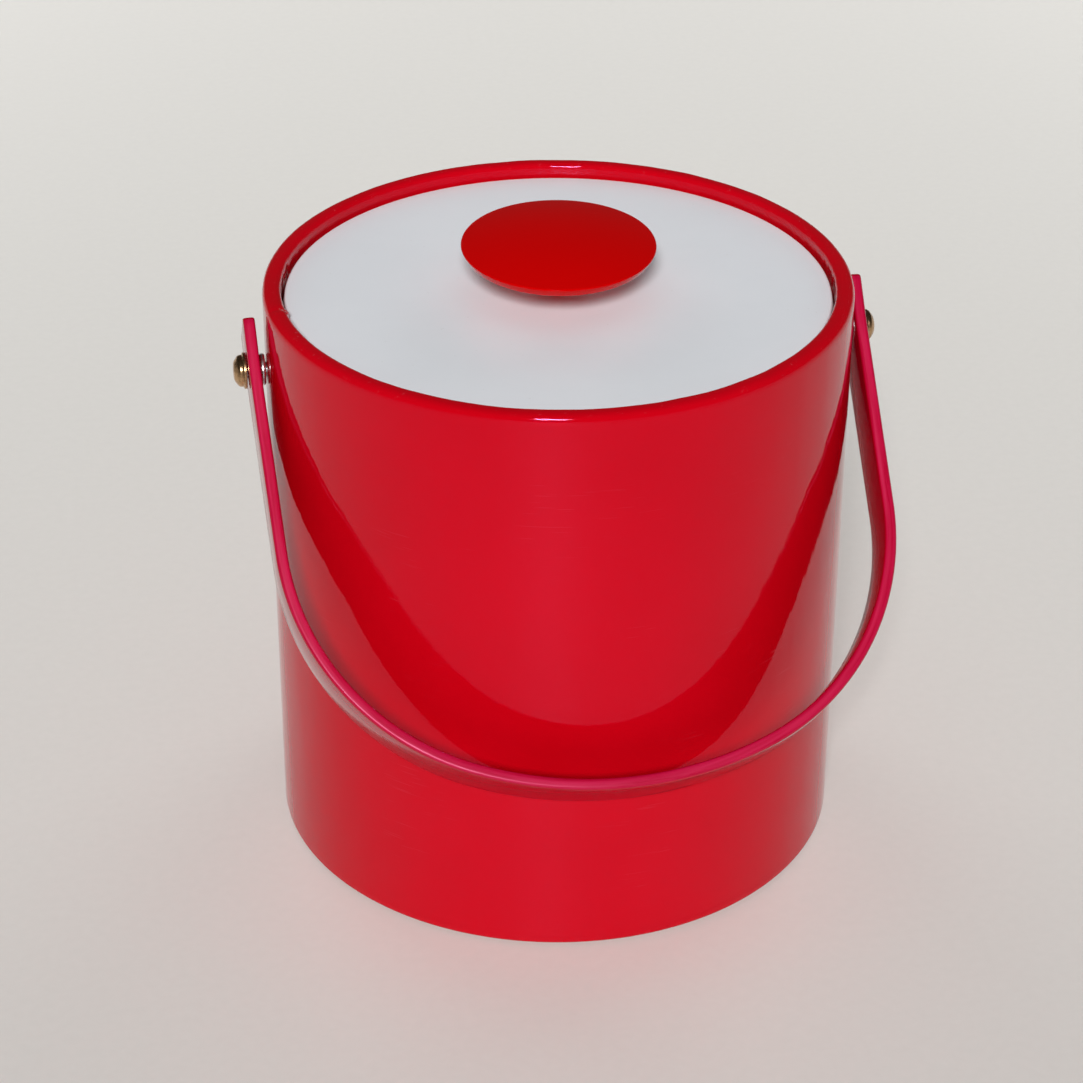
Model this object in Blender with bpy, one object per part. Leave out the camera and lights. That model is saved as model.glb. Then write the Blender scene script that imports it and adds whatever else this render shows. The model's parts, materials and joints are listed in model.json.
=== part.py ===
"""Vinyl-covered ice bucket with a swinging bail and a lift-off insulated lid.

Frame: origin on the table at the centre of the base, +Z up, X along the axis the bail turns on.
The bail hangs down over the -Y side, resting against the wall. Units are metres.
"""
import math

import bmesh
import bpy
from mathutils import Matrix

MM = 0.001
GAP = 0.3 * MM              # clearance between pieces that touch
RING_STEPS = 60             # segments round the bucket and the lid
STEM_STEPS = 40             # segments round the knob's stem
SMALL_STEPS = 20            # segments round screws, washers and caps
ARC_STEPS = 2               # segments in each rounded corner
DOME_STEPS = 4              # segments in a domed profile
SMOOTH_ANGLE = math.radians(35.0)
MERGE_DISTANCE = 0.01 * MM

# Outer shell
WALL_RADIUS = 100.0 * MM
RIM_HEIGHT = 207.0 * MM
VINYL = 1.0 * MM            # thickness of the covering
TUBE_WALL = 3.9 * MM        # thickness of the fibreboard tube
RIM_ROUND = 3.0 * MM        # rounding of the rim's outer edge
FOOT_ROUND = 1.2 * MM       # rounding where the vinyl turns in under the base
LIP_BOTTOM = 190.0 * MM     # where the vinyl ends inside the rim
PAD_HEIGHT = 0.8 * MM
PAD_RADIUS = 97.0 * MM
TURN_UNDER = 16.0 * MM      # width of the vinyl turned in under the base
BOARD = 4.0 * MM
FOAM_DISC = 10.0 * MM

# Liner
FLANGE_HEIGHT = 198.9 * MM  # face the lid rests on
LINER_WALL = 2.0 * MM
LINER_TOP_RADIUS = 86.0 * MM
LINER_BASE_RADIUS = 80.0 * MM
LINER_CORNER = 7.0 * MM
LINER_LIP_ROUND = 1.5 * MM
LINER_SKIRT = 1.5 * MM
SLEEVE_TOP = 168.0 * MM
SLEEVE_SLACK = 0.6 * MM

# Lid
LID_RADIUS = 92.6 * MM
LID_TOP_HEIGHT = 202.2 * MM
LID_THICKNESS = 3.0 * MM
LID_EDGE_ROUND = 0.8 * MM
PLUG_RADIUS = 82.5 * MM
PLUG_BOTTOM = 185.5 * MM
PAN_WALL = 1.2 * MM
PAN_CORNER = 4.0 * MM
KNOB_RADIUS = 33.6 * MM
KNOB_EDGE_TOP = 219.0 * MM
KNOB_EDGE_HEIGHT = 3.2 * MM
KNOB_UNDERCUT = 1.9 * MM    # how far the knob's side leans in towards its underside
KNOB_CROWN = 4.0 * MM       # rise of the knob's domed top above its edge
KNOB_EDGE_ROUND = 0.7 * MM
KNOB_BORE = 3.6 * MM
KNOB_TILT = math.radians(2.2)   # the knob sits a little low at the front
KNOB_SEAT_GAP = 0.5 * MM    # clearance between stem and knob, with room for the tilt
STEM_RADIUS = 4.5 * MM
LID_SCREW_RADIUS = 2.0 * MM
LID_HOLE_RADIUS = LID_SCREW_RADIUS + GAP
KNOB_WASHER_RADIUS = 7.0 * MM
KNOB_WASHER_THICKNESS = 1.0 * MM

# Pivots
PIVOT_HEIGHT = 180.0 * MM
PIVOT_SCREW_RADIUS = 2.4 * MM
PIVOT_HOLE_RADIUS = PIVOT_SCREW_RADIUS + GAP
BACKING_RADIUS = 7.0 * MM
BACKING_THICKNESS = 1.2 * MM
HEAD_RADIUS = 4.6 * MM
HEAD_HEIGHT = 2.6 * MM
CAP_RADIUS = 6.2 * MM
CAP_DEPTH = 4.4 * MM
CAP_DOME_ROUND = 3.4 * MM
CAP_BORE = 3.0 * MM
CAP_RIM_ROUND = 0.3 * MM
SPACER_RADIUS = 5.6 * MM
SPACER_ROUND = 0.5 * MM

# Bail: a flat strip bent to a U. Half of it is a straight leg, a shoulder arc and half of the
# bottom arc. Drop is measured down the U from the pivot axis.
BAIL_THICKNESS = 4.0 * MM
BAIL_WIDTH = 21.6 * MM
BAIL_HALF_SPAN = 104.4 * MM             # from the middle to a leg's centre line at the pivot
BAIL_TAIL = 15.7 * MM                   # part of the leg above the pivot
BAIL_LEG = 67.2 * MM                    # straight part of the leg below the pivot
BAIL_LEG_LEAN = math.radians(-1.25)     # the legs draw in slightly as they go down
BAIL_SHOULDER_RADIUS = 85.2 * MM
BAIL_SHOULDER_TURN = math.radians(67.5)
BAIL_SKEW = 0.02                        # sideways lean of the bent strip per unit of drop
BAIL_EDGE_ROUND = 0.9 * MM
BAIL_END_ROUND = 2.0 * MM
BAIL_END_THINNING = 0.15                # the end rounding's share that also thins the strip
BAIL_END_STATIONS = (0.0, 0.6 * MM, BAIL_END_ROUND)
BAIL_LEG_STEPS = 8
BAIL_CORNER_STEPS = 2       # segments in each rounded edge of the strip
BAIL_ARC_STEP = math.radians(4.5)
BAIL_HANG = math.radians(45.35)         # swing of the hanging bail away from straight down

# Heights and radii that follow from the sizes above
TUBE_OUTER = WALL_RADIUS - VINYL - GAP
TUBE_INNER = TUBE_OUTER - TUBE_WALL
RIM_INNER = TUBE_INNER - GAP - VINYL
UNDERSIDE = PAD_HEIGHT + GAP
BOARD_BOTTOM = UNDERSIDE + VINYL + GAP
FOAM_BOTTOM = BOARD_BOTTOM + BOARD + GAP
LINER_BOTTOM = FOAM_BOTTOM + FOAM_DISC + GAP
LID_UNDERSIDE = LID_TOP_HEIGHT - LID_THICKNESS
KNOB_UNDERSIDE = KNOB_EDGE_TOP - KNOB_EDGE_HEIGHT
BAIL_INNER_FACE = BAIL_HALF_SPAN - BAIL_THICKNESS / 2
BAIL_OUTER_FACE = BAIL_HALF_SPAN + BAIL_THICKNESS / 2


def clear_scene():
    for obj in list(bpy.data.objects):
        bpy.data.objects.remove(obj, do_unlink=True)


def make_material(name, colour, roughness, metallic=0.0):
    material = bpy.data.materials.new(name)
    material.use_nodes = True
    shader = material.node_tree.nodes["Principled BSDF"]
    shader.inputs["Base Color"].default_value = (*colour, 1.0)
    shader.inputs["Roughness"].default_value = roughness
    shader.inputs["Metallic"].default_value = metallic
    return material


def add_object(name, mesh, material):
    obj = bpy.data.objects.new(name, mesh)
    bpy.context.scene.collection.objects.link(obj)
    mesh.materials.append(material)
    return obj


def rounded(corners, steps=ARC_STEPS, closed=True):
    """Return the outline through (x, z, radius) corners with an arc at each that has a radius."""
    outline = []
    count = len(corners)
    for index, (x, z, radius) in enumerate(corners):
        at_open_end = not closed and index in (0, count - 1)
        if radius <= 0.0 or at_open_end:
            outline.append((x, z))
            continue
        before = corners[index - 1]
        after = corners[(index + 1) % count]
        to_before = math.atan2(before[1] - z, before[0] - x)
        to_after = math.atan2(after[1] - z, after[0] - x)
        turn = (to_after - to_before + math.pi) % (2.0 * math.pi) - math.pi
        middle = to_before + turn / 2.0
        centre_distance = radius / abs(math.sin(turn / 2.0))
        centre_x = x + centre_distance * math.cos(middle)
        centre_z = z + centre_distance * math.sin(middle)
        sweep = math.copysign(math.pi - abs(turn), turn)
        start = middle + math.pi + sweep / 2.0
        for step in range(steps + 1):
            angle = start - sweep * step / steps
            outline.append((centre_x + radius * math.cos(angle), centre_z + radius * math.sin(angle)))
    return outline


def turned(name, corners, material, ring_steps=RING_STEPS, closed=True, arc_steps=ARC_STEPS):
    """Turn the outline through (x, z, radius) corners about Z.

    The outline runs down its outer side, top to bottom. An open one starts and ends on the axis.
    """
    outline = rounded(corners, arc_steps, closed)
    points = [(x, 0.0, z) for x, z in outline]
    edges = [(index, index + 1) for index in range(len(points) - 1)]
    if closed:
        edges.append((len(points) - 1, 0))
    mesh = bpy.data.meshes.new(name)
    mesh.from_pydata(points, edges, [])
    obj = add_object(name, mesh, material)
    screw = obj.modifiers.new("Turn", "SCREW")
    screw.axis = "Z"
    screw.steps = ring_steps
    screw.render_steps = ring_steps
    screw.use_merge_vertices = True
    screw.merge_threshold = MERGE_DISTANCE
    screw.use_smooth_shade = True
    return obj


def disc(name, radius, bottom, top, material, edge=0.0, hole=0.0, ring_steps=RING_STEPS):
    """Turn a flat disc, with rounded edges or a hole through it if they are given."""
    corners = [(hole, top, 0.0), (radius, top, edge), (radius, bottom, edge), (hole, bottom, 0.0)]
    return turned(name, corners, material, ring_steps, closed=hole > 0.0)


def drill(obj, cutter):
    cut = obj.modifiers.new("Drill " + cutter.name, "BOOLEAN")
    cut.operation = "DIFFERENCE"
    cut.solver = "EXACT"
    cut.object = cutter


def point_outwards(obj, side):
    """Lay a piece turned about Z along the pivot axis, its Z pointing out of the bucket."""
    obj.location = (0.0, 0.0, PIVOT_HEIGHT)
    obj.rotation_euler = (0.0, side * math.pi / 2.0, 0.0)


def make_pivot_cutter():
    """A long rod through both pivots, used to drill every piece the pivot screws pass through."""
    mesh = bpy.data.meshes.new("pivot_cutter")
    shape = bmesh.new()
    bmesh.ops.create_cone(shape, cap_ends=True, segments=SMALL_STEPS, radius1=PIVOT_HOLE_RADIUS,
                          radius2=PIVOT_HOLE_RADIUS, depth=3.0 * WALL_RADIUS)
    shape.to_mesh(mesh)
    shape.free()
    cutter = bpy.data.objects.new("pivot_cutter", mesh)
    bpy.context.scene.collection.objects.link(cutter)
    point_outwards(cutter, 1)
    cutter.hide_render = True
    cutter.display_type = "WIRE"
    return cutter


def make_shell(red_vinyl, fibreboard, cutter):
    """Make the vinyl skin, rolled over the rim and turned in under the base, and its tube."""
    wrap = turned("vinyl_wrap", [
        (WALL_RADIUS, RIM_HEIGHT, RIM_ROUND),
        (WALL_RADIUS, UNDERSIDE, FOOT_ROUND),
        (WALL_RADIUS - TURN_UNDER, UNDERSIDE, 0.0),
        (WALL_RADIUS - TURN_UNDER, UNDERSIDE + VINYL, 0.0),
        (WALL_RADIUS - VINYL, UNDERSIDE + VINYL, 0.0),
        (WALL_RADIUS - VINYL, RIM_HEIGHT - VINYL, RIM_ROUND - VINYL),
        (RIM_INNER + VINYL, RIM_HEIGHT - VINYL, 0.0),
        (RIM_INNER + VINYL, LIP_BOTTOM, 0.0),
        (RIM_INNER, LIP_BOTTOM, 0.0),
        (RIM_INNER, RIM_HEIGHT, RIM_ROUND / 2.0),
    ], red_vinyl)
    tube_top = RIM_HEIGHT - VINYL - GAP
    tube = turned("shell_tube", [
        (TUBE_INNER, tube_top, 0.0),
        (TUBE_OUTER, tube_top, RIM_ROUND - VINYL),
        (TUBE_OUTER, BOARD_BOTTOM, 0.0),
        (TUBE_INNER, BOARD_BOTTOM, 0.0),
    ], fibreboard)
    for piece in (wrap, tube):
        drill(piece, cutter)


def make_base(fibreboard, dark_pad):
    disc("base_pad", PAD_RADIUS, 0.0, PAD_HEIGHT, dark_pad)
    disc("base_board", TUBE_INNER - GAP, BOARD_BOTTOM, BOARD_BOTTOM + BOARD, fibreboard)


def liner_outer_radius(height):
    """Return the outer radius of the tapered liner wall at a height."""
    share = (height - LINER_BOTTOM) / (FLANGE_HEIGHT - LINER_BOTTOM)
    return LINER_BASE_RADIUS + share * (LINER_TOP_RADIUS - LINER_BASE_RADIUS)


def make_insulation(foam):
    foam_radius = TUBE_INNER - GAP
    disc("foam_disc", foam_radius, FOAM_BOTTOM, FOAM_BOTTOM + FOAM_DISC, foam)
    turned("foam_sleeve", [
        (liner_outer_radius(SLEEVE_TOP) + SLEEVE_SLACK, SLEEVE_TOP, 0.0),
        (foam_radius, SLEEVE_TOP, 0.0),
        (foam_radius, LINER_BOTTOM, 0.0),
        (liner_outer_radius(LINER_BOTTOM) + SLEEVE_SLACK, LINER_BOTTOM, 0.0),
    ], foam)


def make_liner(white_plastic):
    """Make the liner: a tapered bucket with a flat flange and a turned-down skirt."""
    outer = RIM_INNER - GAP
    flange_underside = FLANGE_HEIGHT - LINER_WALL
    turned("inner_liner", [
        (0.0, LINER_BOTTOM + LINER_WALL, 0.0),
        (LINER_BASE_RADIUS - LINER_WALL, LINER_BOTTOM + LINER_WALL, LINER_CORNER),
        (LINER_TOP_RADIUS - LINER_WALL, FLANGE_HEIGHT, LINER_LIP_ROUND),
        (outer, FLANGE_HEIGHT, LINER_LIP_ROUND / 2.0),
        (outer, LIP_BOTTOM, 0.0),
        (outer - LINER_SKIRT, LIP_BOTTOM, 0.0),
        (outer - LINER_SKIRT, flange_underside, 0.0),
        (LINER_TOP_RADIUS, flange_underside, 0.0),
        (LINER_BASE_RADIUS, LINER_BOTTOM, LINER_CORNER + LINER_WALL),
        (0.0, LINER_BOTTOM, 0.0),
    ], white_plastic, closed=False)


def make_pivot(suffix, side, steel, chrome, brass):
    """Make one pivot's screw, backing washer, spacer and domed cap, along the pivot axis."""
    # A flat washer meets the round tube along its edges, so its face lies inside the tube's.
    washer_outer = math.sqrt(TUBE_INNER ** 2 - BACKING_RADIUS ** 2) - 2.0 * GAP
    washer_inner = washer_outer - BACKING_THICKNESS
    head_outer = washer_inner - GAP
    head_inner = head_outer - HEAD_HEIGHT
    spacer_inner = WALL_RADIUS + GAP
    spacer_outer = BAIL_INNER_FACE - GAP
    cap_inner = BAIL_OUTER_FACE + GAP
    cap_outer = cap_inner + CAP_DEPTH
    bore_end = cap_inner + CAP_BORE
    screw_end = bore_end - GAP
    screw = turned("pivot_screw_" + suffix, [
        (0.0, screw_end, 0.0),
        (PIVOT_SCREW_RADIUS, screw_end, 0.0),
        (PIVOT_SCREW_RADIUS, head_outer, 0.0),
        (HEAD_RADIUS, head_outer, 0.0),
        (HEAD_RADIUS, head_inner, HEAD_HEIGHT / 2.0),
        (0.0, head_inner, 0.0),
    ], steel, SMALL_STEPS, closed=False)
    washer = disc("backing_washer_" + suffix, BACKING_RADIUS, washer_inner, washer_outer, steel,
                  hole=PIVOT_HOLE_RADIUS, ring_steps=SMALL_STEPS)
    spacer = disc("spacer_" + suffix, SPACER_RADIUS, spacer_inner, spacer_outer, chrome,
                  edge=SPACER_ROUND, hole=PIVOT_HOLE_RADIUS, ring_steps=SMALL_STEPS)
    cap = turned("dome_cap_" + suffix, [
        (0.0, cap_outer, 0.0),
        (CAP_RADIUS, cap_outer, CAP_DOME_ROUND),
        (CAP_RADIUS, cap_inner, CAP_RIM_ROUND),
        (PIVOT_HOLE_RADIUS, cap_inner, 0.0),
        (PIVOT_HOLE_RADIUS, bore_end, 0.0),
        (0.0, bore_end, 0.0),
    ], brass, SMALL_STEPS, closed=False, arc_steps=DOME_STEPS)
    for piece in (screw, washer, spacer, cap):
        point_outwards(piece, side)


def bail_centre_line():
    """Return stations along the U, right end to left end.

    Each is (across, drop, heading, end distance), with the heading measured outwards from
    straight down, and the end distance held at the end rounding once past it.
    """
    along_leg = [end_distance - BAIL_TAIL for end_distance in BAIL_END_STATIONS]
    straight = BAIL_LEG - along_leg[-1]
    for step in range(1, BAIL_LEG_STEPS + 1):
        along_leg.append(along_leg[len(BAIL_END_STATIONS) - 1] + straight * step / BAIL_LEG_STEPS)
    half = []
    for along in along_leg:
        across = BAIL_HALF_SPAN + along * math.sin(BAIL_LEG_LEAN)
        drop = along * math.cos(BAIL_LEG_LEAN)
        end_distance = min(along + BAIL_TAIL, BAIL_END_ROUND)
        half.append((across, drop, BAIL_LEG_LEAN, end_distance))

    across, drop = half[-1][:2]
    shoulder_across = across - BAIL_SHOULDER_RADIUS * math.cos(BAIL_LEG_LEAN)
    shoulder_drop = drop + BAIL_SHOULDER_RADIUS * math.sin(BAIL_LEG_LEAN)
    shoulder_end = BAIL_LEG_LEAN - BAIL_SHOULDER_TURN
    # The bottom arc is centred between the legs and meets the shoulder without a kink.
    across = shoulder_across + BAIL_SHOULDER_RADIUS * math.cos(shoulder_end)
    drop = shoulder_drop - BAIL_SHOULDER_RADIUS * math.sin(shoulder_end)
    bottom_radius = across / math.cos(shoulder_end)
    bottom_drop = drop + bottom_radius * math.sin(shoulder_end)
    arcs = [
        (shoulder_across, shoulder_drop, BAIL_SHOULDER_RADIUS, BAIL_LEG_LEAN, shoulder_end),
        (0.0, bottom_drop, bottom_radius, shoulder_end, -math.pi / 2.0),
    ]
    for centre_across, centre_drop, radius, start, end in arcs:
        steps = math.ceil((start - end) / BAIL_ARC_STEP)
        for step in range(1, steps + 1):
            heading = start + (end - start) * step / steps
            across = centre_across + radius * math.cos(heading)
            drop = centre_drop - radius * math.sin(heading)
            half.append((across, drop, heading, BAIL_END_ROUND))
    other_half = [(-across, drop, -math.pi - heading, end_distance)
                  for across, drop, heading, end_distance in reversed(half[:-1])]
    return half + other_half


def bail_section(end_distance):
    """Return the strip's rounded section as (through thickness, across width) points."""
    missing = BAIL_END_ROUND - end_distance
    trim = BAIL_END_ROUND - math.sqrt(BAIL_END_ROUND ** 2 - missing ** 2)
    centre_thick = BAIL_THICKNESS / 2.0 - trim * BAIL_END_THINNING - BAIL_EDGE_ROUND
    centre_wide = BAIL_WIDTH / 2.0 - trim - BAIL_EDGE_ROUND
    points = []
    for quarter in range(4):
        first = quarter * math.pi / 2.0
        sign_thick = 1.0 if quarter in (0, 3) else -1.0
        sign_wide = 1.0 if quarter in (0, 1) else -1.0
        for step in range(BAIL_CORNER_STEPS + 1):
            angle = first + step * math.pi / 2.0 / BAIL_CORNER_STEPS
            points.append((sign_thick * centre_thick + BAIL_EDGE_ROUND * math.cos(angle),
                           sign_wide * centre_wide + BAIL_EDGE_ROUND * math.sin(angle)))
    return points


def make_bail(red_acrylic, cutter):
    """Sweep the section along the U in the bail's own frame: X across, -Z down, Y through it."""
    shape = bmesh.new()
    rings = []
    for across, drop, heading, end_distance in bail_centre_line():
        ring = []
        for thick, wide in bail_section(end_distance):
            x = across + thick * math.cos(heading)
            down = drop - thick * math.sin(heading)
            lean = BAIL_SKEW * max(down, 0.0)
            ring.append(shape.verts.new((x + lean, wide, -down)))
        rings.append(ring)
    for ring, next_ring in zip(rings, rings[1:]):
        for index in range(len(ring)):
            shape.faces.new((ring[index - 1], ring[index], next_ring[index], next_ring[index - 1]))
    shape.faces.new(rings[0])
    shape.faces.new(rings[-1])
    bmesh.ops.recalc_face_normals(shape, faces=shape.faces)
    mesh = bpy.data.meshes.new("bail_strap")
    shape.to_mesh(mesh)
    shape.free()
    mesh.shade_smooth()
    mesh.set_sharp_from_angle(angle=SMOOTH_ANGLE)
    bail = add_object("bail_strap", mesh, red_acrylic)
    pivot = bpy.data.objects.new("bail_pivot", None)
    bpy.context.scene.collection.objects.link(pivot)
    pivot.location = (0.0, 0.0, PIVOT_HEIGHT)
    pivot.rotation_euler = (-BAIL_HANG, 0.0, 0.0)
    bail.parent = pivot
    drill(bail, cutter)


def make_lid(white_laminate, white_plastic, foam):
    """Make the lid's top disc and the insulated plug under it."""
    plug_top = LID_UNDERSIDE - GAP
    disc("lid_top", LID_RADIUS, LID_UNDERSIDE, LID_TOP_HEIGHT, white_laminate,
         edge=LID_EDGE_ROUND, hole=LID_HOLE_RADIUS)
    pan_inner = PLUG_RADIUS - PAN_WALL
    pan_floor = PLUG_BOTTOM + PAN_WALL
    turned("lid_pan", [
        (pan_inner, plug_top, 0.0),
        (PLUG_RADIUS, plug_top, 0.0),
        (PLUG_RADIUS, PLUG_BOTTOM, PAN_CORNER),
        (LID_HOLE_RADIUS, PLUG_BOTTOM, 0.0),
        (LID_HOLE_RADIUS, pan_floor, 0.0),
        (pan_inner, pan_floor, PAN_CORNER - PAN_WALL),
    ], white_plastic)
    turned("lid_foam", [
        (LID_HOLE_RADIUS, plug_top, 0.0),
        (pan_inner - GAP, plug_top, 0.0),
        (pan_inner - GAP, pan_floor + GAP, PAN_CORNER),
        (LID_HOLE_RADIUS, pan_floor + GAP, 0.0),
    ], foam)


def dome_corners(radius, edge_height, crown):
    """Return corners along a spherical cap, from its top on the axis to just before its edge."""
    sphere = (radius ** 2 + crown ** 2) / (2.0 * crown)
    centre = edge_height + crown - sphere
    corners = []
    for step in range(DOME_STEPS):
        x = radius * step / DOME_STEPS
        corners.append((x, centre + math.sqrt(sphere ** 2 - x ** 2), 0.0))
    return corners


def make_knob(red_plastic, steel):
    """Make the domed knob, the stem that holds it off the lid, and the screw from below."""
    bore_end = KNOB_UNDERSIDE + KNOB_BORE
    knob = turned("knob_disc", dome_corners(KNOB_RADIUS, KNOB_EDGE_TOP, KNOB_CROWN) + [
        (KNOB_RADIUS, KNOB_EDGE_TOP, KNOB_EDGE_ROUND),
        (KNOB_RADIUS - KNOB_UNDERCUT, KNOB_UNDERSIDE, KNOB_EDGE_ROUND),
        (LID_HOLE_RADIUS, KNOB_UNDERSIDE, 0.0),
        (LID_HOLE_RADIUS, bore_end, 0.0),
        (0.0, bore_end, 0.0),
    ], red_plastic, closed=False)
    seat = Matrix.Translation((0.0, 0.0, KNOB_UNDERSIDE))
    knob.matrix_world = seat @ Matrix.Rotation(KNOB_TILT, 4, "X") @ seat.inverted()
    disc("knob_stem", STEM_RADIUS, LID_TOP_HEIGHT + GAP, KNOB_UNDERSIDE - KNOB_SEAT_GAP, red_plastic,
         hole=LID_HOLE_RADIUS, ring_steps=STEM_STEPS)
    washer_top = PLUG_BOTTOM - GAP
    washer_bottom = washer_top - KNOB_WASHER_THICKNESS
    disc("knob_washer", KNOB_WASHER_RADIUS, washer_bottom, washer_top, steel,
         hole=LID_HOLE_RADIUS, ring_steps=SMALL_STEPS)
    head_top = washer_bottom - GAP
    turned("knob_screw", [
        (0.0, bore_end - GAP, 0.0),
        (LID_SCREW_RADIUS, bore_end - GAP, 0.0),
        (LID_SCREW_RADIUS, head_top, 0.0),
        (HEAD_RADIUS, head_top, 0.0),
        (HEAD_RADIUS, head_top - HEAD_HEIGHT, HEAD_HEIGHT / 2.0),
        (0.0, head_top - HEAD_HEIGHT, 0.0),
    ], steel, SMALL_STEPS, closed=False)


def build():
    clear_scene()
    red_vinyl = make_material("red_vinyl", (0.48, 0.003, 0.009), 0.1)
    red_acrylic = make_material("red_acrylic", (0.42, 0.003, 0.02), 0.3)
    red_plastic = make_material("red_plastic", (0.45, 0.003, 0.005), 0.12)
    white_laminate = make_material("white_laminate", (0.60, 0.62, 0.66), 0.45)
    white_plastic = make_material("white_plastic", (0.78, 0.78, 0.76), 0.4)
    fibreboard = make_material("fibreboard", (0.30, 0.20, 0.12), 0.85)
    foam = make_material("foam", (0.85, 0.85, 0.82), 0.9)
    dark_pad = make_material("dark_pad", (0.02, 0.02, 0.02), 0.8)
    steel = make_material("steel", (0.50, 0.50, 0.50), 0.35, metallic=1.0)
    chrome = make_material("chrome", (0.80, 0.80, 0.80), 0.1, metallic=1.0)
    brass = make_material("brass", (0.45, 0.30, 0.13), 0.25, metallic=1.0)

    cutter = make_pivot_cutter()
    make_shell(red_vinyl, fibreboard, cutter)
    make_base(fibreboard, dark_pad)
    make_insulation(foam)
    make_liner(white_plastic)
    for suffix, side in (("left", -1), ("right", 1)):
        make_pivot(suffix, side, steel, chrome, brass)
    make_bail(red_acrylic, cutter)
    make_lid(white_laminate, white_plastic, foam)
    make_knob(red_plastic, steel)


build()
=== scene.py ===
"""Looks for the vinyl-covered ice bucket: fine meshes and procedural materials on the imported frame.

The frame's axes: +Z up, X along the axis the bail turns on, the bail hanging over the -Y side.
"""
import json
import math

import bmesh
import bpy
from mathutils import Matrix, Vector, kdtree, noise


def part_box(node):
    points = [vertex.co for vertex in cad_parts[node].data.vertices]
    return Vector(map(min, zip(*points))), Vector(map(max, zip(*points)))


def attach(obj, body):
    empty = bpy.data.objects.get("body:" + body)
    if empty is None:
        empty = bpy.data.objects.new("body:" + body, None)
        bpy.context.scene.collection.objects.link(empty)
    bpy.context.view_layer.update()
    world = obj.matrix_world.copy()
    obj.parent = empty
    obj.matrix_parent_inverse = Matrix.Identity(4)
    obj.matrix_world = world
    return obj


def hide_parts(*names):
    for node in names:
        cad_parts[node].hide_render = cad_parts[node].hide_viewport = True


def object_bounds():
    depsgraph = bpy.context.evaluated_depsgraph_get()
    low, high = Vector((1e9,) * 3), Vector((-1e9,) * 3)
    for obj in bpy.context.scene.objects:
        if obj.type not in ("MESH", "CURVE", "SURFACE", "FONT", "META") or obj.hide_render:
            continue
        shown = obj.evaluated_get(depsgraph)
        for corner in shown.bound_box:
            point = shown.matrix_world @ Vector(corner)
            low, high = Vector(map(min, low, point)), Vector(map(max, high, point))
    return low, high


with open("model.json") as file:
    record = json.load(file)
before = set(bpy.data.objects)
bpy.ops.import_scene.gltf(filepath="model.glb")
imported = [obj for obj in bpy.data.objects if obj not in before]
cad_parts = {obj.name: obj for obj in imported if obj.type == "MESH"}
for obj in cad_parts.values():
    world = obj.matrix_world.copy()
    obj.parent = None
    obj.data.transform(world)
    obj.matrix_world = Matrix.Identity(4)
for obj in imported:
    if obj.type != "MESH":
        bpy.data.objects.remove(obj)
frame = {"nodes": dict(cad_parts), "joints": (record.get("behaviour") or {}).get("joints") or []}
cad_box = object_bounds()

MM = 0.001
GAP = 0.3 * MM                          # room between neighbouring pieces
WALL_RADIUS = 100.0 * MM
LIP_BOTTOM = 190.0 * MM                 # lower edge of the vinyl's inner lip and the liner's skirt
LID_HOLE = 2.3 * MM                     # radius of the hole for the lid's screw
PIVOT_HOLE = 2.7 * MM                   # radius of the holes for the pivot screws
PIVOT_HEIGHT = frame["joints"][0]["pos_m"][2]     # the first joint is the bail's hinge

# Camera, in the frame's own axes: it stands to the front and left, looking down.
CAMERA_AZIMUTH = math.radians(10.07)    # turned from -Y towards -X
CAMERA_DISTANCE = 0.93468               # level distance from the bucket's axis
CAMERA_HEIGHT = 0.65775
CAMERA_PITCH = 0.5359                   # radians, as are the next two
CAMERA_YAW = -0.0057
CAMERA_ROLL = 0.0041
CAMERA_LENS = 101.76                    # millimetres, for the sensor width below
CAMERA_SENSOR = 36.0


# ---------------------------------------------------------------- meshes

def smoothstep(low, high, value):
    """Go smoothly from 0 at low to 1 at high, which may be the lower number of the two."""
    share = min(max((value - low) / (high - low), 0.0), 1.0)
    return share * share * (3.0 - 2.0 * share)


CORNER_STEPS = 6    # segments in each rounded corner


def rounded(corners, closed=True):
    """Return the outline through (x, z, radius) corners with an arc at each that has a radius."""
    outline = []
    count = len(corners)
    for index, (x, z, radius) in enumerate(corners):
        at_open_end = not closed and index in (0, count - 1)
        if radius <= 0.0 or at_open_end:
            outline.append((x, z))
            continue
        before = corners[index - 1]
        after = corners[(index + 1) % count]
        to_before = math.atan2(before[1] - z, before[0] - x)
        to_after = math.atan2(after[1] - z, after[0] - x)
        turn = (to_after - to_before + math.pi) % (2.0 * math.pi) - math.pi
        middle = to_before + turn / 2.0
        reach = radius / abs(math.sin(turn / 2.0))
        centre_x = x + reach * math.cos(middle)
        centre_z = z + reach * math.sin(middle)
        sweep = math.copysign(math.pi - abs(turn), turn)
        start = middle + math.pi + sweep / 2.0
        for step in range(CORNER_STEPS + 1):
            angle = start - sweep * step / CORNER_STEPS
            outline.append((centre_x + radius * math.cos(angle), centre_z + radius * math.sin(angle)))
    return outline


def divided(outline, longest, closed=True):
    """Split an outline's long sides into pieces no longer than a given length."""
    result = []
    pairs = list(zip(outline, outline[1:] + outline[:1]))
    if not closed:
        pairs = pairs[:-1]
    for (x0, z0), (x1, z1) in pairs:
        steps = max(1, math.ceil(math.hypot(x1 - x0, z1 - z0) / longest))
        for step in range(steps):
            share = step / steps
            result.append((x0 + (x1 - x0) * share, z0 + (z1 - z0) * share))
    if not closed:
        result.append(outline[-1])
    return result


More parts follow.
